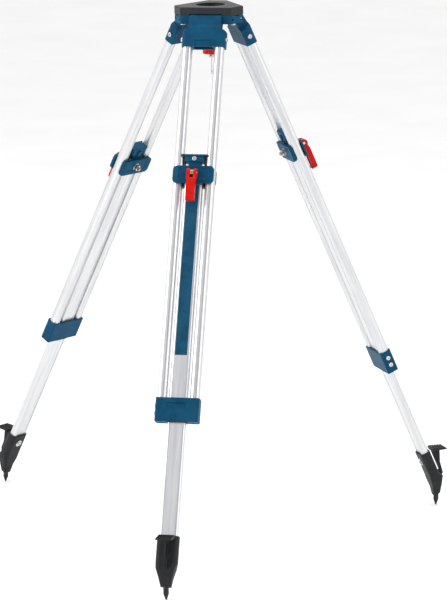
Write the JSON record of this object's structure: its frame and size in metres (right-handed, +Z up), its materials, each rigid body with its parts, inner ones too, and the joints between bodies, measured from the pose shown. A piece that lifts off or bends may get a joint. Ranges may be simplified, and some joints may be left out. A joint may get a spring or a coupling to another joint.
{
  "type": "surveyor tripod",
  "caption": "Light aluminium survey tripod: flat truncated-triangle head with a central opening and fixing screw, telescopic twin-rail legs with cam clamps, and spiked pedal feet.",
  "frame": {"origin": "centre of the head's top face, on the axis of its central opening", "axes": "+Z up along the central opening; the front leg points along -Y and the hinge axis of that leg lies along X"},
  "size_m": [1.0886, 0.957, 1.19],
  "materials": {
    "anodised": "clear satin anodised extrusion",
    "arm_steel": "zinc plated sheet steel",
    "black_plastic": "black sliding plastic",
    "blue_cast": "satin blue paint on die-cast aluminium",
    "dark_cast": "dark powder coat on cast aluminium",
    "dark_plastic": "fine-grained anthracite plastic",
    "dark_steel": "hardened steel, oxide black",
    "label_film": "smooth blue film",
    "red_plastic": "smooth red plastic",
    "zinc_steel": "bright zinc plated"
  },
  "bodies": {
    "head": {"head_plate": "dark_plastic", "head_frame": "blue_cast", "hinge_pins": "zinc_steel", "corner_screws": "zinc_steel", "arm_pivot": "zinc_steel"},
    "screw_arm": {"screw_arm": "arm_steel"},
    "screw_slider": {"slider_bush": "black_plastic"},
    "screw_washer": {"thrust_washer": "zinc_steel"},
    "screw": {"fixing_screw": "zinc_steel", "knob": "red_plastic"},
    "plumb_hook": {"plumb_hook": "zinc_steel"},
    "upper_leg_front": {"hinge_block_front": "blue_cast", "rails_front": "anodised", "rail_screws_front": "zinc_steel", "end_bracket_front": "blue_cast", "slide_liner_front": "black_plastic"},
    "lower_leg_front": {"inner_leg_front": "anodised", "guide_cap_front": "blue_cast", "slide_pads_front": "black_plastic", "clamp_front_plate_front": "blue_cast", "clamp_rear_plate_front": "blue_cast", "clamp_bolt_front": "zinc_steel", "lower_fasteners_front": "zinc_steel", "foot_front": "dark_cast", "foot_spike_front": "dark_steel", "leg_label_front": "label_film"},
    "lever_front": {"cam_lever_front": "red_plastic", "lever_pin_front": "zinc_steel"},
    "upper_leg_right": {"hinge_block_right": "blue_cast", "rails_right": "anodised", "rail_screws_right": "zinc_steel", "end_bracket_right": "blue_cast", "slide_liner_right": "black_plastic"},
    "lower_leg_right": {"inner_leg_right": "anodised", "guide_cap_right": "blue_cast", "slide_pads_right": "black_plastic", "clamp_front_plate_right": "blue_cast", "clamp_rear_plate_right": "blue_cast", "clamp_bolt_right": "zinc_steel", "lower_fasteners_right": "zinc_steel", "foot_right": "dark_cast", "foot_spike_right": "dark_steel"},
    "lever_right": {"cam_lever_right": "red_plastic", "lever_pin_right": "zinc_steel"},
    "upper_leg_left": {"hinge_block_left": "blue_cast", "rails_left": "anodised", "rail_screws_left": "zinc_steel", "end_bracket_left": "blue_cast", "slide_liner_left": "black_plastic"},
    "lower_leg_left": {"inner_leg_left": "anodised", "guide_cap_left": "blue_cast", "slide_pads_left": "black_plastic", "clamp_front_plate_left": "blue_cast", "clamp_rear_plate_left": "blue_cast", "clamp_bolt_left": "zinc_steel", "lower_fasteners_left": "zinc_steel", "foot_left": "dark_cast", "foot_spike_left": "dark_steel"},
    "lever_left": {"cam_lever_left": "red_plastic", "lever_pin_left": "zinc_steel"}
  },
  "joints": [
    {"name": "arm_swing", "type": "hinge", "parent": "head", "child": "screw_arm", "pos_m": [0, 0.06, -0.0398], "axis": [0, 0, 1], "range_deg": [-12, 12]},
    {"name": "screw_slide", "type": "slide", "parent": "screw_arm", "child": "screw_slider", "axis": [0, 1, 0], "range_m": [-0.013, 0.013]},
    {"name": "screw_lift", "type": "slide", "parent": "screw_slider", "child": "screw_washer", "axis": [0, 0, 1], "range_m": [0, 0.037]},
    {"name": "screw_turn", "type": "hinge", "parent": "screw_washer", "child": "screw", "pos_m": [0, 0, -0.082], "axis": [0, 0, 1], "continuous": true},
    {"name": "hook_swing", "type": "hinge", "parent": "screw", "child": "plumb_hook", "pos_m": [0, 0, -0.1145], "axis": [1, 0, 0], "range_deg": [-70, 70]},
    {"name": "leg_spread_front", "type": "hinge", "parent": "head", "child": "upper_leg_front", "pos_m": [0, -0.0515, -0.0275], "axis": [1, 0, 0], "range_deg": [-14.75, 25.25]},
    {"name": "leg_slide_front", "type": "slide", "parent": "upper_leg_front", "child": "lower_leg_front", "axis": [0, -0.4266, -0.9045], "range_m": [-0.2411, 0.4619]},
    {"name": "lever_open_front", "type": "hinge", "parent": "lower_leg_front", "child": "lever_front", "pos_m": [0, -0.23109, -0.33537], "axis": [-1, 0, 0], "range_deg": [0, 120]},
    {"name": "leg_spread_right", "type": "hinge", "parent": "head", "child": "upper_leg_right", "pos_m": [0.0446, 0.02575, -0.0275], "axis": [-0.5, 0.866, 0], "range_deg": [-17.05, 22.95]},
    {"name": "leg_slide_right", "type": "slide", "parent": "upper_leg_right", "child": "lower_leg_right", "axis": [0.3377, 0.195, -0.9208], "range_m": [-0.219, 0.484]},
    {"name": "lever_open_right", "type": "hinge", "parent": "lower_leg_right", "child": "lever_right", "pos_m": [0.18186, 0.105, -0.32204], "axis": [0.5, -0.866, 0], "range_deg": [0, 120]},
    {"name": "leg_spread_left", "type": "hinge", "parent": "head", "child": "upper_leg_left", "pos_m": [-0.0446, 0.02575, -0.0275], "axis": [-0.5, -0.866, 0], "range_deg": [-10.7, 29.3]},
    {"name": "leg_slide_left", "type": "slide", "parent": "upper_leg_left", "child": "lower_leg_left", "axis": [-0.4238, 0.2447, -0.8721], "range_m": [-0.2872, 0.4158]},
    {"name": "lever_open_left", "type": "hinge", "parent": "lower_leg_left", "child": "lever_left", "pos_m": [-0.23814, 0.13749, -0.36218], "axis": [0.5, 0.866, 0], "range_deg": [0, 120]}
  ]
}
